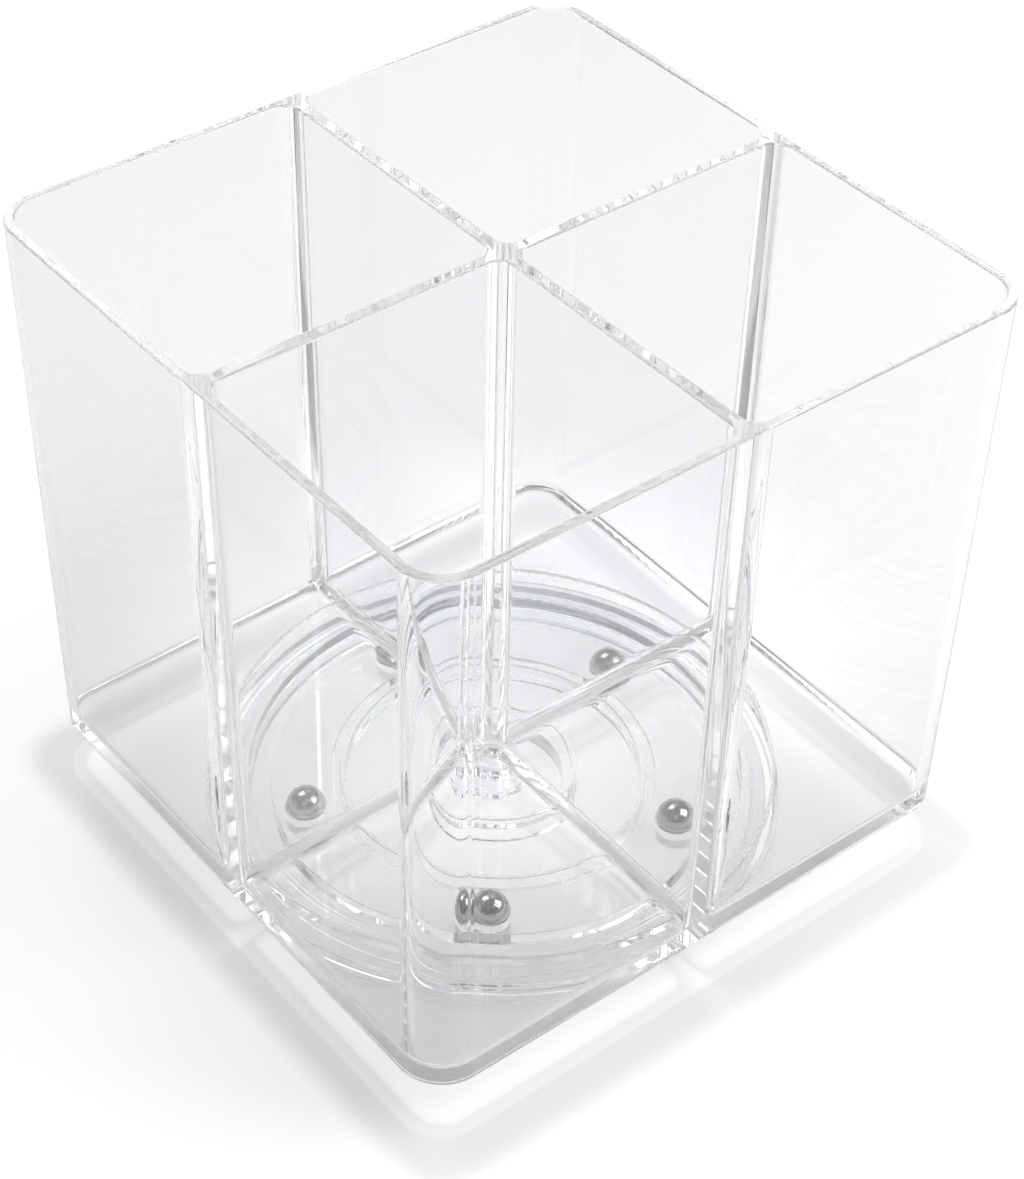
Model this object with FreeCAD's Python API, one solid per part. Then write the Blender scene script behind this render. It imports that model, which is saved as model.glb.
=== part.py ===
import FreeCAD, Part
import math
import os

# Rotating desk bin with four compartments on a ball-bearing base.
# Millimetres. The origin is on the table under the turning axis, +Z is up,
# and the bin's walls lie square to X and Y at rest.

# Bin: one moulding, wider at the rim than at the foot
RIM_WIDTH = 127.0
FOOT_WIDTH = 124.2
BIN_HEIGHT = 116.4
RIM_CORNER_R = 8.4
FOOT_CORNER_R = 9.1
RIM_WALL = 1.9
FOOT_WALL = 3.0
FLOOR_THICKNESS = 1.8
RIM_DIVIDER = 2.7
FOOT_DIVIDER = 3.2
TEE_FILLET = 3.2
CROSS_FILLET = 2.7
FLOOR_FILLET_STEP = 0.2
FOOT_EDGE_ROUND = 0.4
RIM_EDGE_ROUND = 0.55

# Ball bearing
BALL_COUNT = 5
BALL_DIAMETER = 7.5
BALL_CIRCLE_R = 38.0
FIRST_BALL_ANGLE = 14.0
BALL_RUNNING_GAP = 0.05

# Ball cage: a flat ring whose flange runs round the base's guide rib
CAGE_POCKET_GAP = 0.2
CAGE_OUTER_RIM = 1.85
CAGE_INNER_RIM = 1.65
CAGE_FLANGE_WIDTH = 1.4
CAGE_FLANGE_HEIGHT = 1.2
CAGE_HEIGHT = 3.3
CAGE_FLOOR_GAP = 0.3
CAGE_GUIDE_GAP = 0.3
CAGE_WALL_GAP = 3.9
CAGE_EDGE_BREAK = 0.3

# Base dish
WEB_UNDERSIDE = 1.0
WEB_THICKNESS = 2.0
HUB_R = 17.3
HUB_RIM_WALL = 1.3
HUB_RIM_GAP = 1.9
HUB_DECK_THICKNESS = 2.0
HUB_DECK_GAP = 3.9
GUIDE_RIB_WALL = 1.2
GUIDE_RIB_GAP = 3.4
RACE_WALL = 1.6
RACE_WALL_GAP = 2.0
CHANNEL_WIDTH = 4.7
SKIRT_WALL = 1.8
SKIRT_DROP = 1.6
SKIRT_TAPER = 2.0
SKIRT_LIFT = 0.5
SHOULDER_THICKNESS = 2.0
SHOULDER_ROUND = 1.2
INNER_CORNER_FILLET = 0.8
RIB_EDGE_ROUND = 0.55

# Turntable disc, bonded under the bin
DISC_THICKNESS = 2.4
DISC_OVERHANG = 4.7
DISC_EDGE_ROUND = 0.6
BOND_FILM = 0.05
BOSS_R = 5.2
BOSS_ROOT_FILLET = 0.8
BOSS_DECK_GAP = 0.3
SOCKET_ROOF = 1.2

# Centre pin and slip washer
PIN_R = 3.0
PIN_RUNNING_GAP = 0.08
PIN_SOCKET_GAP = 0.02
PIN_TIP_GAP = 0.3
PIN_TIP_CHAMFER = 0.6
PIN_HEAD_R = 6.8
PIN_HEAD_HEIGHT = 1.5
PIN_BORE_R = 1.6
PIN_CAP = 1.6
WASHER_THICKNESS = 0.8
WASHER_OUTER_R = 6.5
WASHER_BORE_GAP = 0.2
WASHER_RUNNING_GAP = 0.05

# Foot ring: soft, held in the channel by the skirt's inward slope
FOOT_RING_GAP = 0.05
FOOT_RING_EDGE = 0.4

# The floor's fillet runs round the cross's fillets, so it is the smaller one
FLOOR_FILLET = CROSS_FILLET - FLOOR_FILLET_STEP

# Heights that follow from the values above
RACE_FLOOR = WEB_UNDERSIDE + WEB_THICKNESS
BALL_R = BALL_DIAMETER / 2
BALL_CENTRE_Z = RACE_FLOOR + BALL_RUNNING_GAP + BALL_R
DISC_UNDERSIDE = BALL_CENTRE_Z + BALL_R + BALL_RUNNING_GAP
DISC_TOP = DISC_UNDERSIDE + DISC_THICKNESS
BIN_UNDERSIDE = DISC_TOP + BOND_FILM
RIM_Z = BIN_UNDERSIDE + BIN_HEIGHT
POCKET_FLOOR = BIN_UNDERSIDE + FLOOR_THICKNESS
HUB_DECK_TOP = DISC_UNDERSIDE - HUB_DECK_GAP
HUB_DECK_UNDERSIDE = HUB_DECK_TOP - HUB_DECK_THICKNESS
RACE_WALL_TOP = DISC_UNDERSIDE - RACE_WALL_GAP
SKIRT_TOP = RACE_WALL_TOP - SKIRT_DROP
CHANNEL_ROOF = SKIRT_TOP - SHOULDER_THICKNESS
WASHER_TOP = HUB_DECK_UNDERSIDE - WASHER_RUNNING_GAP
WASHER_UNDERSIDE = WASHER_TOP - WASHER_THICKNESS
PIN_HEAD_TOP = WASHER_UNDERSIDE - WASHER_RUNNING_GAP
SOCKET_TOP = DISC_TOP - SOCKET_ROOF

# Radii that follow from the ball circle outwards and inwards
BALL_POCKET_R = BALL_R + CAGE_POCKET_GAP
CAGE_OUTER_R = BALL_CIRCLE_R + BALL_POCKET_R + CAGE_OUTER_RIM
CAGE_BAND_R = BALL_CIRCLE_R - BALL_POCKET_R - CAGE_INNER_RIM
CAGE_INNER_R = CAGE_BAND_R - CAGE_FLANGE_WIDTH
GUIDE_RIB_R = CAGE_INNER_R - CAGE_GUIDE_GAP
RACE_WALL_INNER_R = CAGE_OUTER_R + CAGE_WALL_GAP
RACE_WALL_OUTER_R = RACE_WALL_INNER_R + RACE_WALL
DISC_R = RACE_WALL_OUTER_R + DISC_OVERHANG
CHANNEL_TOP_R = RACE_WALL_OUTER_R + CHANNEL_WIDTH
CHANNEL_FOOT_R = CHANNEL_TOP_R - SKIRT_TAPER
SKIRT_TOP_R = CHANNEL_TOP_R + SKIRT_WALL
SKIRT_FOOT_R = SKIRT_TOP_R - SKIRT_TAPER


def point(x, y, z):
    return FreeCAD.Vector(x, y, z)


def revolve(profile):
    """Solid of revolution about the turning axis from (radius, height) corners."""
    corners = [point(r, 0, z) for r, z in profile]
    face = Part.Face(Part.makePolygon(corners + corners[:1]))
    return face.revolve(point(0, 0, 0), point(0, 0, 1), 360)


def ring_edges(shape, radius, height):
    """Full circles of the given radius and height, centred on the turning axis."""
    found = []
    for edge in shape.Edges:
        box = edge.BoundBox
        level = abs(box.ZMin - height) < 0.001 and abs(box.ZMax - height) < 0.001
        if level and abs(box.XMax - radius) < 0.01 and abs(box.YMax - radius) < 0.01:
            found.append(edge)
    return found


def round_rings(shape, radius, rings):
    """Round the circular edges listed as (radius, height)."""
    edges = []
    for ring_radius, height in rings:
        edges.extend(ring_edges(shape, ring_radius, height))
    return shape.makeFillet(radius, edges)


def level_edges(shape, height):
    """Edges that lie flat at one height."""
    found = []
    for edge in shape.Edges:
        box = edge.BoundBox
        if abs(box.ZMin - height) < 0.001 and abs(box.ZMax - height) < 0.001:
            found.append(edge)
    return found


def rounded_outline(low, high, radii, z):
    """Square outline from (low, low) to (high, high), one radius for each corner."""
    corners = [(low, low, 1, 1), (high, low, -1, 1), (high, high, -1, -1), (low, high, 1, -1)]
    edges = []
    last_end = None
    first_start = None
    for (x, y, inward_x, inward_y), radius in zip(corners, radii):
        on_x_side = point(x + inward_x * radius, y, z)
        on_y_side = point(x, y + inward_y * radius, z)
        start, end = on_x_side, on_y_side
        if inward_x == inward_y:
            start, end = on_y_side, on_x_side
        inset = radius * (1 - math.sqrt(0.5))
        middle = point(x + inward_x * inset, y + inward_y * inset, z)
        if last_end is None:
            first_start = start
        else:
            edges.append(Part.makeLine(last_end, start))
        edges.append(Part.Arc(start, middle, end).toShape())
        last_end = end
    edges.append(Part.makeLine(last_end, first_start))
    return Part.Wire(edges)


def tapered(at_foot, at_rim, z):
    """Size at height z of something that changes evenly from the bin's foot to its rim."""
    return at_foot + (at_rim - at_foot) * (z - BIN_UNDERSIDE) / BIN_HEIGHT


def bin_outline(z):
    half = tapered(FOOT_WIDTH, RIM_WIDTH, z) / 2
    corner = tapered(FOOT_CORNER_R, RIM_CORNER_R, z)
    return rounded_outline(-half, half, [corner] * 4, z)


def pocket_outline(z):
    wall = tapered(FOOT_WALL, RIM_WALL, z)
    near = tapered(FOOT_DIVIDER, RIM_DIVIDER, z) / 2
    far = tapered(FOOT_WIDTH, RIM_WIDTH, z) / 2 - wall
    corner = tapered(FOOT_CORNER_R, RIM_CORNER_R, z) - wall
    return rounded_outline(near, far, [CROSS_FILLET, TEE_FILLET, corner, TEE_FILLET], z)


def make_pocket():
    """One compartment's hollow, drafted, with a rounded floor edge."""
    above_rim = RIM_Z + 2.0
    pocket = Part.makeLoft([pocket_outline(POCKET_FLOOR), pocket_outline(above_rim)], True, True)
    return pocket.makeFillet(FLOOR_FILLET, level_edges(pocket, POCKET_FLOOR))


def make_divided_bin():
    """Square bin with its cross of dividers, floor and walls in one moulding."""
    body = Part.makeLoft([bin_outline(BIN_UNDERSIDE), bin_outline(RIM_Z)], True, True)
    body = body.makeFillet(FOOT_EDGE_ROUND, level_edges(body, BIN_UNDERSIDE))
    pocket = make_pocket()
    for quarter in range(4):
        turned = pocket.copy()
        turned.rotate(point(0, 0, 0), point(0, 0, 1), 90 * quarter)
        body = body.cut(turned)
    return body.makeFillet(RIM_EDGE_ROUND, level_edges(body, RIM_Z))


def make_turntable_disc():
    """Clear disc bonded under the bin, with the socket boss for the centre pin."""
    boss_end = HUB_DECK_TOP + BOSS_DECK_GAP
    socket_r = PIN_R + PIN_SOCKET_GAP
    disc = revolve([
        (0, SOCKET_TOP),
        (socket_r, SOCKET_TOP),
        (socket_r, boss_end),
        (BOSS_R, boss_end),
        (BOSS_R, DISC_UNDERSIDE),
        (DISC_R, DISC_UNDERSIDE),
        (DISC_R, DISC_TOP),
        (0, DISC_TOP),
    ])
    disc = round_rings(disc, BOSS_ROOT_FILLET, [(BOSS_R, DISC_UNDERSIDE)])
    return round_rings(disc, DISC_EDGE_ROUND, [(DISC_R, DISC_UNDERSIDE), (DISC_R, DISC_TOP)])


def make_base_dish():
    """Base with hub, guide rib, race floor, race wall, shoulder and tapered skirt."""
    bore_r = PIN_R + PIN_RUNNING_GAP
    hub_rim_top = DISC_UNDERSIDE - HUB_RIM_GAP
    hub_inner_r = HUB_R - HUB_RIM_WALL
    recess_r = hub_inner_r - HUB_RIM_WALL
    rib_top = DISC_UNDERSIDE - GUIDE_RIB_GAP
    rib_inner_r = GUIDE_RIB_R - GUIDE_RIB_WALL
    dish = revolve([
        (bore_r, HUB_DECK_UNDERSIDE),
        (bore_r, HUB_DECK_TOP),
        (hub_inner_r, HUB_DECK_TOP),
        (hub_inner_r, hub_rim_top),
        (HUB_R, hub_rim_top),
        (HUB_R, RACE_FLOOR),
        (rib_inner_r, RACE_FLOOR),
        (rib_inner_r, rib_top),
        (GUIDE_RIB_R, rib_top),
        (GUIDE_RIB_R, RACE_FLOOR),
        (RACE_WALL_INNER_R, RACE_FLOOR),
        (RACE_WALL_INNER_R, RACE_WALL_TOP),
        (RACE_WALL_OUTER_R, RACE_WALL_TOP),
        (SKIRT_TOP_R, SKIRT_TOP),
        (SKIRT_FOOT_R, SKIRT_LIFT),
        (CHANNEL_FOOT_R, SKIRT_LIFT),
        (CHANNEL_TOP_R, CHANNEL_ROOF),
        (RACE_WALL_OUTER_R, CHANNEL_ROOF),
        (RACE_WALL_OUTER_R, WEB_UNDERSIDE),
        (recess_r, WEB_UNDERSIDE),
        (recess_r, HUB_DECK_UNDERSIDE),
    ])
    dish = round_rings(dish, SHOULDER_ROUND, [(SKIRT_TOP_R, SKIRT_TOP)])
    foot_rings = [(HUB_R, RACE_FLOOR), (RACE_WALL_INNER_R, RACE_FLOOR)]
    dish = round_rings(dish, INNER_CORNER_FILLET, foot_rings)
    top_rings = [
        (HUB_R, hub_rim_top),
        (hub_inner_r, hub_rim_top),
        (rib_inner_r, rib_top),
        (GUIDE_RIB_R, rib_top),
        (RACE_WALL_INNER_R, RACE_WALL_TOP),
        (SKIRT_FOOT_R, SKIRT_LIFT),
    ]
    return round_rings(dish, RIB_EDGE_ROUND, top_rings)


def ball_place(index, z):
    """Point on the ball circle at the given height."""
    angle = math.radians(FIRST_BALL_ANGLE + index * 360 / BALL_COUNT)
    return point(BALL_CIRCLE_R * math.cos(angle), BALL_CIRCLE_R * math.sin(angle), z)


def make_ball_cage():
    """Ring with one pocket a ball and a thin inner flange."""
    bottom = RACE_FLOOR + CAGE_FLOOR_GAP
    top = bottom + CAGE_HEIGHT
    flange_top = bottom + CAGE_FLANGE_HEIGHT
    cage = revolve([
        (CAGE_INNER_R, bottom),
        (CAGE_OUTER_R, bottom),
        (CAGE_OUTER_R, top),
        (CAGE_BAND_R, top),
        (CAGE_BAND_R, flange_top),
        (CAGE_INNER_R, flange_top),
    ])
    cage = round_rings(cage, CAGE_EDGE_BREAK, [(CAGE_OUTER_R, top), (CAGE_BAND_R, top)])
    for index in range(BALL_COUNT):
        cage = cage.cut(Part.makeCylinder(BALL_POCKET_R, top, ball_place(index, 0)))
    return cage


def make_steel_ball(index):
    return Part.makeSphere(BALL_R, ball_place(index, BALL_CENTRE_Z))


def make_centre_pin():
    """Headed pin, hollow from below, pushed up into the disc's socket."""
    tip = SOCKET_TOP - PIN_TIP_GAP
    head_bottom = PIN_HEAD_TOP - PIN_HEAD_HEIGHT
    pin = revolve([
        (0, tip - PIN_CAP),
        (PIN_BORE_R, tip - PIN_CAP),
        (PIN_BORE_R, head_bottom),
        (PIN_HEAD_R, head_bottom),
        (PIN_HEAD_R, PIN_HEAD_TOP),
        (PIN_R, PIN_HEAD_TOP),
        (PIN_R, tip),
        (0, tip),
    ])
    pin = pin.makeChamfer(PIN_TIP_CHAMFER, ring_edges(pin, PIN_R, tip))
    return round_rings(pin, RIB_EDGE_ROUND, [(PIN_HEAD_R, head_bottom)])


def make_slip_washer():
    """Thin washer between the pin's head and the hub deck."""
    bore_r = PIN_R + WASHER_BORE_GAP
    return revolve([
        (bore_r, WASHER_UNDERSIDE),
        (WASHER_OUTER_R, WASHER_UNDERSIDE),
        (WASHER_OUTER_R, WASHER_TOP),
        (bore_r, WASHER_TOP),
    ])


def make_foot_ring():
    """Soft ring pushed up into the channel behind the skirt; the base stands on it."""
    slope = SKIRT_TAPER / (CHANNEL_ROOF - SKIRT_LIFT)
    top = CHANNEL_ROOF - FOOT_RING_GAP
    inner_r = RACE_WALL_OUTER_R + FOOT_RING_GAP
    mouth_r = CHANNEL_FOOT_R - FOOT_RING_GAP
    top_r = mouth_r + slope * (top - SKIRT_LIFT)
    ring = revolve([
        (inner_r, 0),
        (mouth_r, 0),
        (mouth_r, SKIRT_LIFT),
        (top_r, top),
        (inner_r, top),
    ])
    return round_rings(ring, FOOT_RING_EDGE, [(inner_r, 0), (mouth_r, 0)])


def build_nodes():
    nodes = {
        "base_dish": make_base_dish(),
        "foot_ring": make_foot_ring(),
        "slip_washer": make_slip_washer(),
        "ball_cage": make_ball_cage(),
        "turntable_disc": make_turntable_disc(),
        "centre_pin": make_centre_pin(),
        "divided_bin": make_divided_bin(),
    }
    for index in range(BALL_COUNT):
        nodes["steel_ball_%d" % (index + 1)] = make_steel_ball(index)
    return nodes


os.makedirs("parts", exist_ok=True)
for name, shape in build_nodes().items():
    shape.exportStep("parts/%s.step" % name)
    print(name, "valid", shape.isValid(), "solids", len(shape.Solids), "faces", len(shape.Faces),
          "mm3", round(shape.Volume, 1))
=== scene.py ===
import math

import bmesh
import bpy
from mathutils import Matrix, Vector


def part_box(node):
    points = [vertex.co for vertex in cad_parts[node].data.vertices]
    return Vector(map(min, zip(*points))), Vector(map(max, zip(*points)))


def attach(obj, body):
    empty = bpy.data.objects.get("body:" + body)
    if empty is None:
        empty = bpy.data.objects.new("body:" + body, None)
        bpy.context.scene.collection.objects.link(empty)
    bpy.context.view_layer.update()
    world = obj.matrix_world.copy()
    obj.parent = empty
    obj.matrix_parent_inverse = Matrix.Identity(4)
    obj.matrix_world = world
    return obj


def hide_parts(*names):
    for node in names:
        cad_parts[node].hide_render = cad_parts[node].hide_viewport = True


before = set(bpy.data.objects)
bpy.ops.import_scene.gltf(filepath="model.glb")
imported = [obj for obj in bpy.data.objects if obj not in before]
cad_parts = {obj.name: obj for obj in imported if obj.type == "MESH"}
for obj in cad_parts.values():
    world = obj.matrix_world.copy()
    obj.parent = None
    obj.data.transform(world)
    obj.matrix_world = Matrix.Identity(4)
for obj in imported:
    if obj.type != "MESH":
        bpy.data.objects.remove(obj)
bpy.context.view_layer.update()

# The rotating pen holder stands on its round base at the origin, +Z up, in metres.
# The sections follow the order in which the holder is put together on a bench.


# Camera
# It stands ahead of the holder, to its left, and looks down at it. Its place, aim, roll
# and lens come from the corners of the bin's rim and foot in the photograph.
PHOTO_WIDTH = 1024
PHOTO_HEIGHT = 1179
FOCAL_PIXELS = 2807
AIM_PIXEL_X = 498.5
AIM_PIXEL_Y = 517.8
SENSOR_WIDTH = 36
CAMERA_ROLL = math.radians(1.2)
bin_foot_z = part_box("divided_bin")[0][2]
camera_place = Vector((-0.2485, -0.3077, bin_foot_z + 0.3820))
camera_aim = Vector((0, 0, bin_foot_z + 0.0582))

camera = bpy.data.cameras.new("photo_camera")
camera.sensor_width = SENSOR_WIDTH
camera.lens = SENSOR_WIDTH * FOCAL_PIXELS / PHOTO_HEIGHT
camera.shift_x = (PHOTO_WIDTH / 2 - AIM_PIXEL_X) / PHOTO_HEIGHT
camera.shift_y = (AIM_PIXEL_Y - PHOTO_HEIGHT / 2) / PHOTO_HEIGHT
camera.clip_start = 0.01
camera.clip_end = 20
camera_object = bpy.data.objects.new("photo_camera", camera)
looking = (camera_aim - camera_place).normalized().to_track_quat("-Z", "Y").to_matrix().to_4x4()
camera_object.matrix_world = (
    Matrix.Translation(camera_place) @ looking @ Matrix.Rotation(CAMERA_ROLL, 4, "Z")
)
bpy.context.scene.collection.objects.link(camera_object)
bpy.context.scene.camera = camera_object
bpy.context.scene.view_settings.view_transform = "Standard"


# Base dish
# One clear styrene moulding with hub, guide rib, race and skirt, all rings about the axis.
# It keeps its CAD form. The clear plastic that the other mouldings share starts here.
FLOW_SHADE = (0.992, 0.993, 0.995, 1)
SMEAR_SCALE = 90
SMEAR_START = 0.48
SMEAR_FULL = 0.75
LEVEL_MATCH = 0.00002


def flow_group():
    """Moulded clear plastic: slow waves of the melt, faint haze, uneven tint."""
    group = bpy.data.node_groups.new("moulded_flow", "ShaderNodeTree")
    sockets = group.interface
    sockets.new_socket("Tint", in_out="INPUT", socket_type="NodeSocketColor")
    sockets.new_socket("Wave Scale", in_out="INPUT", socket_type="NodeSocketFloat")
    sockets.new_socket("Haze", in_out="INPUT", socket_type="NodeSocketFloat")
    sockets.new_socket("Tint", in_out="OUTPUT", socket_type="NodeSocketColor")
    sockets.new_socket("Roughness", in_out="OUTPUT", socket_type="NodeSocketFloat")
    sockets.new_socket("Wave Height", in_out="OUTPUT", socket_type="NodeSocketFloat")
    nodes, links = group.nodes, group.links
    given = nodes.new("NodeGroupInput")
    put_out = nodes.new("NodeGroupOutput")
    place = nodes.new("ShaderNodeTexCoord")

    waves = nodes.new("ShaderNodeTexNoise")
    waves.inputs["Detail"].default_value = 1.0
    waves.inputs["Distortion"].default_value = 0.6
    links.new(place.outputs["Object"], waves.inputs["Vector"])
    links.new(given.outputs["Wave Scale"], waves.inputs["Scale"])
    links.new(waves.outputs["Fac"], put_out.inputs["Wave Height"])

    smears = nodes.new("ShaderNodeTexNoise")
    smears.inputs["Scale"].default_value = SMEAR_SCALE
    smears.inputs["Detail"].default_value = 5
    links.new(place.outputs["Object"], smears.inputs["Vector"])
    spread = nodes.new("ShaderNodeMapRange")
    spread.inputs["From Min"].default_value = SMEAR_START
    spread.inputs["From Max"].default_value = SMEAR_FULL
    links.new(smears.outputs["Fac"], spread.inputs["Value"])
    haze = nodes.new("ShaderNodeMath")
    haze.operation = "MULTIPLY"
    links.new(spread.outputs["Result"], haze.inputs[0])
    links.new(given.outputs["Haze"], haze.inputs[1])
    links.new(haze.outputs["Value"], put_out.inputs["Roughness"])

    uneven = nodes.new("ShaderNodeMix")
    uneven.data_type = "RGBA"
    uneven.blend_type = "MULTIPLY"
    tint_in, shade_in = [s for s in uneven.inputs if s.type == "RGBA"]
    shade_in.default_value = FLOW_SHADE
    links.new(given.outputs["Tint"], tint_in)
    links.new(waves.outputs["Fac"], uneven.inputs["Factor"])
    tint_out = [s for s in uneven.outputs if s.type == "RGBA"][0]
    links.new(tint_out, put_out.inputs["Tint"])
    return group


def bonded_group():
    """0 on a level round face that clear adhesive joins to the next piece, 1 elsewhere."""
    group = bpy.data.node_groups.new("bonded_face", "ShaderNodeTree")
    sockets = group.interface
    sockets.new_socket("Height", in_out="INPUT", socket_type="NodeSocketFloat")
    sockets.new_socket("Radius", in_out="INPUT", socket_type="NodeSocketFloat")
    sockets.new_socket("Mask", in_out="OUTPUT", socket_type="NodeSocketFloat")
    nodes, links = group.nodes, group.links
    given = nodes.new("NodeGroupInput")
    put_out = nodes.new("NodeGroupOutput")
    place = nodes.new("ShaderNodeTexCoord")
    split = nodes.new("ShaderNodeSeparateXYZ")
    links.new(place.outputs["Object"], split.inputs["Vector"])
    level = nodes.new("ShaderNodeMath")
    level.operation = "COMPARE"
    level.inputs[2].default_value = LEVEL_MATCH
    links.new(split.outputs["Z"], level.inputs[0])
    links.new(given.outputs["Height"], level.inputs[1])
    flat = nodes.new("ShaderNodeVectorMath")
    flat.operation = "MULTIPLY"
    flat.inputs[1].default_value = (1, 1, 0)
    links.new(place.outputs["Object"], flat.inputs[0])
    reach = nodes.new("ShaderNodeVectorMath")
    reach.operation = "LENGTH"
    links.new(flat.outputs["Vector"], reach.inputs[0])
    within = nodes.new("ShaderNodeMath")
    within.operation = "LESS_THAN"
    links.new(reach.outputs["Value"], within.inputs[0])
    links.new(given.outputs["Radius"], within.inputs[1])
    both = nodes.new("ShaderNodeMath")
    both.operation = "MULTIPLY"
    links.new(level.outputs["Value"], both.inputs[0])
    links.new(within.outputs["Value"], both.inputs[1])
    solid = nodes.new("ShaderNodeMath")
    solid.operation = "SUBTRACT"
    solid.inputs[0].default_value = 1
    links.new(both.outputs["Value"], solid.inputs[1])
    links.new(solid.outputs["Value"], put_out.inputs["Mask"])
    return group


def turned_group():
    """Roughness, with more of it low down for light that has turned back many times."""
    group = bpy.data.node_groups.new("turned_light", "ShaderNodeTree")
    sockets = group.interface
    sockets.new_socket("Turns", in_out="INPUT", socket_type="NodeSocketFloat")
    sockets.new_socket("Roughness", in_out="INPUT", socket_type="NodeSocketFloat")
    sockets.new_socket("Roughness", in_out="OUTPUT", socket_type="NodeSocketFloat")
    nodes, links = group.nodes, group.links
    given = nodes.new("NodeGroupInput")
    put_out = nodes.new("NodeGroupOutput")
    turned = nodes.new("ShaderNodeMath")
    turned.operation = "GREATER_THAN"
    turned.inputs[1].default_value = MANY_TURNS
    links.new(given.outputs["Turns"], turned.inputs[0])
    place = nodes.new("ShaderNodeTexCoord")
    split = nodes.new("ShaderNodeSeparateXYZ")
    links.new(place.outputs["Object"], split.inputs["Vector"])
    low = nodes.new("ShaderNodeMath")
    low.operation = "LESS_THAN"
    low.inputs[1].default_value = SPREAD_BELOW
    links.new(split.outputs["Z"], low.inputs[0])
    both = nodes.new("ShaderNodeMath")
    both.operation = "MULTIPLY"
    links.new(turned.outputs["Value"], both.inputs[0])
    links.new(low.outputs["Value"], both.inputs[1])
    spread = nodes.new("ShaderNodeMath")
    spread.operation = "MULTIPLY_ADD"
    spread.inputs[1].default_value = TURNED_SPREAD
    links.new(both.outputs["Value"], spread.inputs[0])
    links.new(given.outputs["Roughness"], spread.inputs[2])
    links.new(spread.outputs["Value"], put_out.inputs["Roughness"])
    return group


# Reflection is held down, as by a polarising filter. Light that is caught in the plastic
# and turns back often is spread near the foot, where real edges are never quite true.
SOFT_GLOSS = (0.3, 0.3, 0.3, 1)
MANY_TURNS = 3.5
SPREAD_BELOW = 0.0185
TURNED_SPREAD = 0.2
BUMP_STRENGTH = 0.2
EDGE_BLEND = 0.35
moulded_flow = flow_group()
bonded_face = bonded_group()
turned_light = turned_group()


def clear_plastic(name, tint, ior, haze, wave_scale, wave_height, edge_shade, bond=None):
    """Clear plastic. Rays from lamps pass straight through it and are tinted, more at its edges.
    A bond is the height and radius of a flat face that clear adhesive joins to the next piece,
    so that light crosses it as if the two were one."""
    material = bpy.data.materials.new(name)
    material.use_nodes = True
    nodes, links = material.node_tree.nodes, material.node_tree.links
    body = nodes["Principled BSDF"]
    body.inputs["Transmission Weight"].default_value = 1
    body.inputs["IOR"].default_value = ior
    body.inputs["Specular Tint"].default_value = SOFT_GLOSS
    ray = nodes.new("ShaderNodeLightPath")
    flow = nodes.new("ShaderNodeGroup")
    flow.node_tree = moulded_flow
    flow.inputs["Tint"].default_value = tint + (1,)
    flow.inputs["Wave Scale"].default_value = wave_scale
    flow.inputs["Haze"].default_value = haze
    links.new(flow.outputs["Tint"], body.inputs["Base Color"])
    turned = nodes.new("ShaderNodeGroup")
    turned.node_tree = turned_light
    links.new(ray.outputs["Glossy Depth"], turned.inputs["Turns"])
    links.new(flow.outputs["Roughness"], turned.inputs["Roughness"])
    links.new(turned.outputs["Roughness"], body.inputs["Roughness"])
    bump = nodes.new("ShaderNodeBump")
    bump.inputs["Strength"].default_value = BUMP_STRENGTH
    bump.inputs["Distance"].default_value = wave_height
    links.new(flow.outputs["Wave Height"], bump.inputs["Height"])
    links.new(bump.outputs["Normal"], body.inputs["Normal"])
    if bond:
        joined = nodes.new("ShaderNodeGroup")
        joined.node_tree = bonded_face
        joined.inputs["Height"].default_value, joined.inputs["Radius"].default_value = bond
        links.new(joined.outputs["Mask"], body.inputs["Alpha"])

    passing = nodes.new("ShaderNodeBsdfTransparent")
    edge = nodes.new("ShaderNodeLayerWeight")
    edge.inputs["Blend"].default_value = EDGE_BLEND
    shade = nodes.new("ShaderNodeMix")
    shade.data_type = "RGBA"
    face_on, edge_on = [s for s in shade.inputs if s.type == "RGBA"]
    face_on.default_value = (1, 1, 1, 1)
    edge_on.default_value = (edge_shade, edge_shade, edge_shade, 1)
    links.new(edge.outputs["Facing"], shade.inputs["Factor"])
    links.new([s for s in shade.outputs if s.type == "RGBA"][0], passing.inputs["Color"])
    either = nodes.new("ShaderNodeMath")
    either.operation = "MAXIMUM"
    links.new(ray.outputs["Is Shadow Ray"], either.inputs[0])
    links.new(ray.outputs["Is Diffuse Ray"], either.inputs[1])
    mix = nodes.new("ShaderNodeMixShader")
    links.new(either.outputs["Value"], mix.inputs["Fac"])
    links.new(body.outputs["BSDF"], mix.inputs[1])
    links.new(passing.outputs["BSDF"], mix.inputs[2])
    links.new(mix.outputs["Shader"], nodes["Material Output"].inputs["Surface"])
    return material


def finish_node(node, material):
    """Give a CAD node its material."""
    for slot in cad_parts[node].material_slots:
        slot.material = material


clear_base = clear_plastic(
    "clear_base", tint=(0.995, 0.996, 0.997), ior=1.49, haze=0.0, wave_scale=40,
    wave_height=0.00001, edge_shade=0.85,
)
finish_node("base_dish", clear_base)


# Foot ring
# Soft clear ring, pushed by hand up into the channel behind the skirt, so that the base
# stands still. Soft elastomer is a little milky and never as glossy as the styrene.
clear_soft = clear_plastic(
    "clear_soft_ring", tint=(0.955, 0.96, 0.965), ior=1.48, haze=0.08, wave_scale=60,
    wave_height=0.0004, edge_shade=0.85,
)
finish_node("foot_ring", clear_soft)


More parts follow.
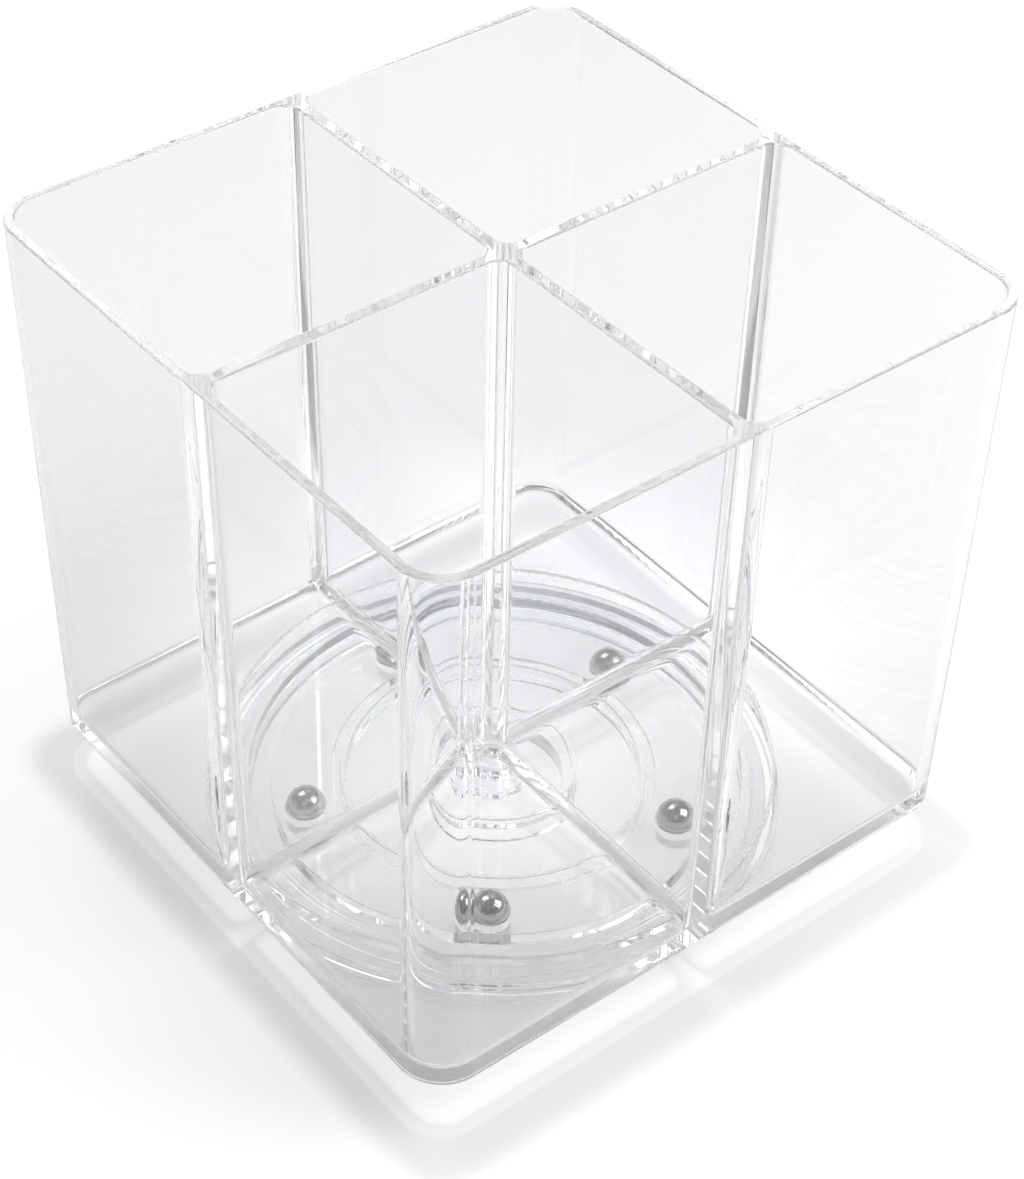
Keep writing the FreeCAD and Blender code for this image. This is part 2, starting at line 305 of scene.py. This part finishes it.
# Slip washer
# Thin punched washer of clear polyester between the hub and the head of the pin.
clear_washer = clear_plastic(
    "clear_washer", tint=(0.97, 0.975, 0.98), ior=1.57, haze=0.02, wave_scale=80,
    wave_height=0.0002, edge_shade=0.85,
)
finish_node("slip_washer", clear_washer)


# Ball cage
# Clear moulded ring with five round pockets. It is dropped over the guide rib and turns at
# half the bin's speed.
clear_cage = clear_plastic(
    "clear_cage", tint=(0.995, 0.996, 0.997), ior=1.49, haze=0.0, wave_scale=50,
    wave_height=0.00001, edge_shade=0.85,
)
finish_node("ball_cage", clear_cage)


# Steel balls
# Five polished bearing balls, one in each pocket of the cage. Ground and lapped steel, with
# hair-fine marks from rolling and a thin film of oil.
BALL_COUNT = 5
FILM_SCALE = 500
FILM_THIN_ROUGHNESS = 0.04
FILM_THICK_ROUGHNESS = 0.14
STEEL_DARK = (0.38, 0.375, 0.37, 1)
STEEL_LIGHT = (0.56, 0.555, 0.545, 1)
polished_steel = bpy.data.materials.new("polished_steel")
polished_steel.use_nodes = True
steel_nodes, steel_links = polished_steel.node_tree.nodes, polished_steel.node_tree.links
steel = steel_nodes["Principled BSDF"]
steel.inputs["Metallic"].default_value = 1
steel_place = steel_nodes.new("ShaderNodeTexCoord")
film = steel_nodes.new("ShaderNodeTexNoise")
film.inputs["Scale"].default_value = FILM_SCALE
film.inputs["Detail"].default_value = 4
steel_links.new(steel_place.outputs["Object"], film.inputs["Vector"])
film_gloss = steel_nodes.new("ShaderNodeMapRange")
film_gloss.inputs["To Min"].default_value = FILM_THIN_ROUGHNESS
film_gloss.inputs["To Max"].default_value = FILM_THICK_ROUGHNESS
steel_links.new(film.outputs["Fac"], film_gloss.inputs["Value"])
steel_links.new(film_gloss.outputs["Result"], steel.inputs["Roughness"])
film_colour = steel_nodes.new("ShaderNodeValToRGB")
film_colour.color_ramp.elements[0].color = STEEL_DARK
film_colour.color_ramp.elements[1].color = STEEL_LIGHT
steel_links.new(film.outputs["Fac"], film_colour.inputs["Fac"])
steel_links.new(film_colour.outputs["Color"], steel.inputs["Base Color"])
for ball in range(BALL_COUNT):
    finish_node("steel_ball_%d" % (ball + 1), polished_steel)


# Turntable disc
# Clear disc with a socket boss under its middle, bonded under the bin. Its turned edge is
# the double ring that shows just inside the bin's floor.
BOND_RADIUS = 0.0534
disc_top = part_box("turntable_disc")[1][2]
clear_disc = clear_plastic(
    "clear_disc", tint=(0.995, 0.996, 0.997), ior=1.49, haze=0.0, wave_scale=40,
    wave_height=0.00001, edge_shade=0.85, bond=(disc_top, BOND_RADIUS),
)
finish_node("turntable_disc", clear_disc)


# Centre pin
# Headed clear pin, hollow from below, pushed up through base and washer into the disc.
clear_pin = clear_plastic(
    "clear_pin", tint=(0.97, 0.975, 0.98), ior=1.49, haze=0.0, wave_scale=60,
    wave_height=0.0003, edge_shade=0.85,
)
finish_node("centre_pin", clear_pin)


# Divided bin
# One clear moulding: square, wider at the rim than at the foot, with a cross of dividers
# that runs into walls and floor in fillets. It is bonded to the disc.
# Millimetres here, because the fill and the roundings are finer than metres resolve.
MILLIMETRE = 0.001
RIM_WIDTH = 127.0
FOOT_WIDTH = 124.2
RIM_CORNER = 8.4
FOOT_CORNER = 9.1
RIM_WALL = 1.9
FOOT_WALL = 3.0
RIM_DIVIDER = 2.7
FOOT_DIVIDER = 3.2
BIN_FLOOR = 1.8
TEE_FILLET = 3.2
CROSS_FILLET = 2.7
FLOOR_FILLET = 2.5
FOOT_ROUND = 0.4
RIM_ROUND = 0.55
RIM_LAND = 0.8
CORNER_STEPS = 16
ROUND_STEPS = 7
LEVEL_NORMAL = 0.9
HEIGHT_MATCH = 0.001
FACE_SHARE = 100
foot_z = bin_foot_z / MILLIMETRE
rim_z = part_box("divided_bin")[1][2] / MILLIMETRE
pocket_floor_z = foot_z + BIN_FLOOR


def tapered(at_foot, at_rim, z):
    """Size at height z of something that changes evenly from the bin's foot to its rim."""
    return at_foot + (at_rim - at_foot) * (z - foot_z) / (rim_z - foot_z)


def level_face(bm, low, high, z, radii):
    """Level face from (low, low) to (high, high). Radii are those of the corners low-low,
    high-low, low-high and high-high."""
    others = set(bm.faces)
    verts = bmesh.ops.create_grid(bm, x_segments=1, y_segments=1, size=0.5)["verts"]
    middle = (low + high) / 2
    bmesh.ops.scale(bm, vec=(high - low, high - low, 1), verts=verts)
    bmesh.ops.translate(bm, vec=(middle, middle, z), verts=verts)
    for vert, radius in zip(verts, radii):
        bmesh.ops.bevel(
            bm, geom=[vert], offset=radius, offset_type="OFFSET", segments=CORNER_STEPS,
            profile=0.5, affect="VERTICES", clamp_overlap=False, material=-1,
        )
    return next(face for face in bm.faces if face not in others)


def land_inside(bm, face, width):
    """Leave a level strip of the given width inside the face's outline, open in the middle.
    Returns the strip's outer and inner edges."""
    strip = bmesh.ops.inset_region(
        bm, faces=[face], thickness=width, use_boundary=True, use_even_offset=True
    )["faces"]
    inner = set(face.edges)
    bmesh.ops.delete(bm, geom=[face], context="FACES_ONLY")
    outer = {edge for quad in strip for edge in quad.edges if edge.is_boundary} - inner
    return list(outer), list(inner)


def round_turns(bm, z, radius):
    """Round the edges at height z where a level face meets a wall."""
    bmesh.ops.recalc_face_normals(bm, faces=bm.faces)
    turns = []
    for edge in bm.edges:
        level = [face for face in edge.link_faces if abs(face.normal.z) > LEVEL_NORMAL]
        at_height = all(abs(vert.co.z - z) < HEIGHT_MATCH for vert in edge.verts)
        if at_height and len(edge.link_faces) == 2 and len(level) == 1:
            turns.append(edge)
    bmesh.ops.bevel(
        bm, geom=turns, offset=radius, offset_type="OFFSET", segments=ROUND_STEPS,
        profile=0.5, affect="EDGES", clamp_overlap=False, material=-1,
    )


def add_shell(bm):
    """Outer walls and underside, with a narrow land round the top."""
    foot = level_face(bm, -FOOT_WIDTH / 2, FOOT_WIDTH / 2, foot_z, [FOOT_CORNER] * 4)
    rim = level_face(bm, -RIM_WIDTH / 2, RIM_WIDTH / 2, rim_z, [RIM_CORNER] * 4)
    rim_edges, _ = land_inside(bm, rim, RIM_LAND)
    bmesh.ops.bridge_loops(bm, edges=rim_edges + list(foot.edges))
    round_turns(bm, foot_z, FOOT_ROUND)
    round_turns(bm, rim_z, RIM_ROUND)


def add_pockets(bm):
    """Four compartments, each with a land round its mouth, turned about the axis from one."""
    z = pocket_floor_z
    corner = tapered(FOOT_CORNER, RIM_CORNER, z) - tapered(FOOT_WALL, RIM_WALL, z)
    near = tapered(FOOT_DIVIDER, RIM_DIVIDER, z) / 2
    far = tapered(FOOT_WIDTH, RIM_WIDTH, z) / 2 - tapered(FOOT_WALL, RIM_WALL, z)
    floor = level_face(bm, near, far, z, [CROSS_FILLET, TEE_FILLET, TEE_FILLET, corner])
    near = RIM_DIVIDER / 2 - RIM_LAND
    far = RIM_WIDTH / 2 - RIM_WALL + RIM_LAND
    corner = RIM_CORNER - RIM_WALL
    radii = [radius + RIM_LAND for radius in (CROSS_FILLET, TEE_FILLET, TEE_FILLET, corner)]
    mouth = level_face(bm, near, far, rim_z, radii)
    _, mouth_edges = land_inside(bm, mouth, RIM_LAND)
    bmesh.ops.bridge_loops(bm, edges=mouth_edges + list(floor.edges))
    round_turns(bm, pocket_floor_z, FLOOR_FILLET)
    round_turns(bm, rim_z, RIM_ROUND)
    everything = list(bm.verts) + list(bm.edges) + list(bm.faces)
    bmesh.ops.spin(
        bm, geom=everything, cent=(0, 0, 0), axis=(0, 0, 1), angle=math.radians(270),
        steps=3, use_duplicate=True,
    )


def add_piece(name, bm, body, node, material):
    """Turn a bmesh into a piece that rides on a body and stands for a CAD node."""
    mesh = bpy.data.meshes.new(name)
    bm.to_mesh(mesh)
    bm.free()
    mesh.materials.append(material)
    mesh.shade_smooth()
    piece = bpy.data.objects.new(name, mesh)
    bpy.context.scene.collection.objects.link(piece)
    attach(piece, body)
    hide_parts(node)
    return piece


clear_bin = clear_plastic(
    "clear_bin", tint=(0.96, 0.963, 0.967), ior=1.49, haze=0.0, wave_scale=25,
    wave_height=0.00002, edge_shade=0.30, bond=(bin_foot_z, BOND_RADIUS),
)
pockets = bmesh.new()
add_pockets(pockets)
whole_bin = bmesh.new()
add_shell(whole_bin)
pocket_mesh = bpy.data.meshes.new("pockets")
pockets.to_mesh(pocket_mesh)
pockets.free()
whole_bin.from_mesh(pocket_mesh)
bpy.data.meshes.remove(pocket_mesh)
open_edges = [edge for edge in whole_bin.edges if edge.is_boundary]
bmesh.ops.triangle_fill(whole_bin, edges=open_edges, use_beauty=True, normal=(0, 0, 1))
bmesh.ops.recalc_face_normals(whole_bin, faces=whole_bin.faces)
bmesh.ops.scale(whole_bin, vec=(MILLIMETRE, MILLIMETRE, MILLIMETRE), verts=whole_bin.verts)
bin_piece = add_piece(
    "divided_bin_moulding", whole_bin, "bin", "divided_bin", clear_bin
)
even_gloss = bin_piece.modifiers.new("even_gloss", "WEIGHTED_NORMAL")
even_gloss.weight = FACE_SHARE


# Floor, lamps and backdrop
# A plain pale floor that runs out of sight, and soft studio lamps. None of it is part of
# the holder.
FLOOR_SIZE = 8.0
FLOOR_COLOUR = (0.86, 0.86, 0.86, 1)
FLOOR_ROUGHNESS = 0.9
BACKDROP_WHITE = (1, 1, 1, 1)

# The floor is paler to the eye than the lamps alone make it. Through clear plastic it is
# less so, apart from a glow where the clear base gathers light. Far off it is palest.
LIFT_SEEN = 0.31
LIFT_THROUGH = 0.12
GLOW = 0.42
GLOW_MIDDLE = Vector((0.0188, 0.0234, 0))
GLOW_FULL = 0.030
GLOW_END = 0.100
FAR_LIFT = 0.62
FAR_START = 0.6
FAR_END = 1.4


def floor_lift(nodes, links):
    """How much the floor shines for a ray from the eye, off a gloss or through a clear piece."""
    ray = nodes.new("ShaderNodeLightPath")
    place = nodes.new("ShaderNodeTexCoord")
    from_glow = nodes.new("ShaderNodeVectorMath")
    from_glow.operation = "DISTANCE"
    from_glow.inputs[1].default_value = GLOW_MIDDLE
    links.new(place.outputs["Object"], from_glow.inputs[0])

    near = nodes.new("ShaderNodeMapRange")
    near.interpolation_type = "SMOOTHSTEP"
    near.inputs["From Min"].default_value = GLOW_FULL
    near.inputs["From Max"].default_value = GLOW_END
    near.inputs["To Min"].default_value = LIFT_THROUGH + GLOW
    near.inputs["To Max"].default_value = LIFT_THROUGH
    links.new(from_glow.outputs["Value"], near.inputs["Value"])
    far = nodes.new("ShaderNodeMapRange")
    far.interpolation_type = "SMOOTHSTEP"
    far.inputs["From Min"].default_value = FAR_START
    far.inputs["From Max"].default_value = FAR_END
    far.inputs["To Max"].default_value = FAR_LIFT
    links.new(from_glow.outputs["Value"], far.inputs["Value"])

    through = nodes.new("ShaderNodeMath")
    through.operation = "MAXIMUM"
    links.new(ray.outputs["Is Glossy Ray"], through.inputs[0])
    links.new(ray.outputs["Is Transmission Ray"], through.inputs[1])
    seen = nodes.new("ShaderNodeMath")
    seen.operation = "MAXIMUM"
    links.new(ray.outputs["Is Camera Ray"], seen.inputs[0])
    links.new(through.outputs["Value"], seen.inputs[1])

    to_eye = nodes.new("ShaderNodeMath")
    to_eye.operation = "MULTIPLY"
    to_eye.inputs[1].default_value = LIFT_SEEN
    links.new(ray.outputs["Is Camera Ray"], to_eye.inputs[0])
    with_near = nodes.new("ShaderNodeMath")
    with_near.operation = "MULTIPLY_ADD"
    links.new(through.outputs["Value"], with_near.inputs[0])
    links.new(near.outputs["Result"], with_near.inputs[1])
    links.new(to_eye.outputs["Value"], with_near.inputs[2])
    with_far = nodes.new("ShaderNodeMath")
    with_far.operation = "MULTIPLY_ADD"
    links.new(seen.outputs["Value"], with_far.inputs[0])
    links.new(far.outputs["Result"], with_far.inputs[1])
    links.new(with_near.outputs["Value"], with_far.inputs[2])
    return with_far.outputs["Value"]


floor_white = bpy.data.materials.new("floor_white")
floor_white.use_nodes = True
floor_nodes, floor_links = floor_white.node_tree.nodes, floor_white.node_tree.links
paper = floor_nodes["Principled BSDF"]
paper.inputs["Roughness"].default_value = FLOOR_ROUGHNESS
paper.inputs["Specular IOR Level"].default_value = 0
paper.inputs["Base Color"].default_value = FLOOR_COLOUR
paper.inputs["Emission Color"].default_value = BACKDROP_WHITE
floor_links.new(floor_lift(floor_nodes, floor_links), paper.inputs["Emission Strength"])
floor_shape = bmesh.new()
bmesh.ops.create_grid(floor_shape, x_segments=1, y_segments=1, size=FLOOR_SIZE / 2)
floor_mesh = bpy.data.meshes.new("floor")
floor_shape.to_mesh(floor_mesh)
floor_shape.free()
floor_mesh.materials.append(floor_white)
floor = bpy.data.objects.new("floor", floor_mesh)
bpy.context.scene.collection.objects.link(floor)

# The room is brighter behind the holder and to its right, and has a pale backdrop that ends
# a little above the floor. Light that turned back often in the plastic sees a paler room.
ROOM_BRIGHT = (0.34, 0.34, 0.35, 1)
ROOM_DIM = (0.12, 0.12, 0.125, 1)
BRIGHT_SIDE = Vector((0.52, 0.64, 0.57))
DIM_FROM = -0.1
BRIGHT_FROM = 0.8
BACKDROP_TOP = 0.06
BACKDROP_GONE = 0.12
TURNED_WHITE = 0.3
studio = bpy.data.worlds.new("studio")
bpy.context.scene.world = studio
studio.use_nodes = True
room_nodes, room_links = studio.node_tree.nodes, studio.node_tree.links
way = room_nodes.new("ShaderNodeTexCoord")
towards_bright = room_nodes.new("ShaderNodeVectorMath")
towards_bright.operation = "DOT_PRODUCT"
towards_bright.inputs[1].default_value = BRIGHT_SIDE
room_links.new(way.outputs["Generated"], towards_bright.inputs[0])
room = room_nodes.new("ShaderNodeMix")
room.data_type = "RGBA"
dim_in, bright_in = [s for s in room.inputs if s.type == "RGBA"]
dim_in.default_value = ROOM_DIM
bright_in.default_value = ROOM_BRIGHT
fade = room_nodes.new("ShaderNodeMapRange")
fade.interpolation_type = "SMOOTHSTEP"
fade.inputs["From Min"].default_value = DIM_FROM
fade.inputs["From Max"].default_value = BRIGHT_FROM
room_links.new(towards_bright.outputs["Value"], fade.inputs["Value"])
room_links.new(fade.outputs["Result"], room.inputs["Factor"])
height = room_nodes.new("ShaderNodeSeparateXYZ")
room_links.new(way.outputs["Generated"], height.inputs["Vector"])
above = room_nodes.new("ShaderNodeMapRange")
above.interpolation_type = "SMOOTHSTEP"
above.inputs["From Min"].default_value = BACKDROP_TOP
above.inputs["From Max"].default_value = BACKDROP_GONE
room_links.new(height.outputs["Z"], above.inputs["Value"])
backdrop = room_nodes.new("ShaderNodeMix")
backdrop.data_type = "RGBA"
white_in, room_in = [s for s in backdrop.inputs if s.type == "RGBA"]
white_in.default_value = BACKDROP_WHITE
room_links.new([s for s in room.outputs if s.type == "RGBA"][0], room_in)
room_ray = room_nodes.new("ShaderNodeLightPath")
many_turns = room_nodes.new("ShaderNodeMath")
many_turns.operation = "GREATER_THAN"
many_turns.inputs[1].default_value = MANY_TURNS
room_links.new(room_ray.outputs["Glossy Depth"], many_turns.inputs[0])
room_kept = room_nodes.new("ShaderNodeMath")
room_kept.operation = "MULTIPLY_ADD"
room_kept.inputs[1].default_value = -TURNED_WHITE
room_kept.inputs[2].default_value = 1
room_links.new(many_turns.outputs["Value"], room_kept.inputs[0])
room_share = room_nodes.new("ShaderNodeMath")
room_share.operation = "MULTIPLY"
room_links.new(above.outputs["Result"], room_share.inputs[0])
room_links.new(room_kept.outputs["Value"], room_share.inputs[1])
room_links.new(room_share.outputs["Value"], backdrop.inputs["Factor"])
backdrop_out = [s for s in backdrop.outputs if s.type == "RGBA"][0]
room_links.new(backdrop_out, room_nodes["Background"].inputs["Color"])

LAMP_AIM = Vector((0, 0, 0.05))


def add_lamp(name, place, size, watts, seen=True):
    """Square lamp aimed at the holder. An unseen one lights it but doesn't show in its gloss."""
    lamp = bpy.data.lights.new(name, "AREA")
    lamp.size = size
    lamp.energy = watts
    lamp_object = bpy.data.objects.new(name, lamp)
    turn = (LAMP_AIM - Vector(place)).to_track_quat("-Z", "Y").to_matrix().to_4x4()
    lamp_object.matrix_world = Matrix.Translation(place) @ turn
    lamp_object.visible_glossy = seen
    lamp_object.visible_transmission = seen
    bpy.context.scene.collection.objects.link(lamp_object)


add_lamp("top_lamp", place=(-0.01, 0.01, 1.4), size=0.05, watts=6.0, seen=False)
add_lamp("back_softbox", place=(-0.01, 0.56, 0.88), size=0.50, watts=2.2)
add_lamp("front_softbox", place=(0.37, -0.33, 0.50), size=0.44, watts=2.4)
add_lamp("side_softbox", place=(-0.94, 0.33, 0.35), size=0.50, watts=0.4)

# Light goes in and out of many clear walls on its way, so it is followed for longer.
CLEAR_BOUNCES = 48
cycles = bpy.context.scene.cycles
cycles.max_bounces = CLEAR_BOUNCES
cycles.transmission_bounces = CLEAR_BOUNCES
cycles.glossy_bounces = CLEAR_BOUNCES
cycles.transparent_max_bounces = CLEAR_BOUNCES
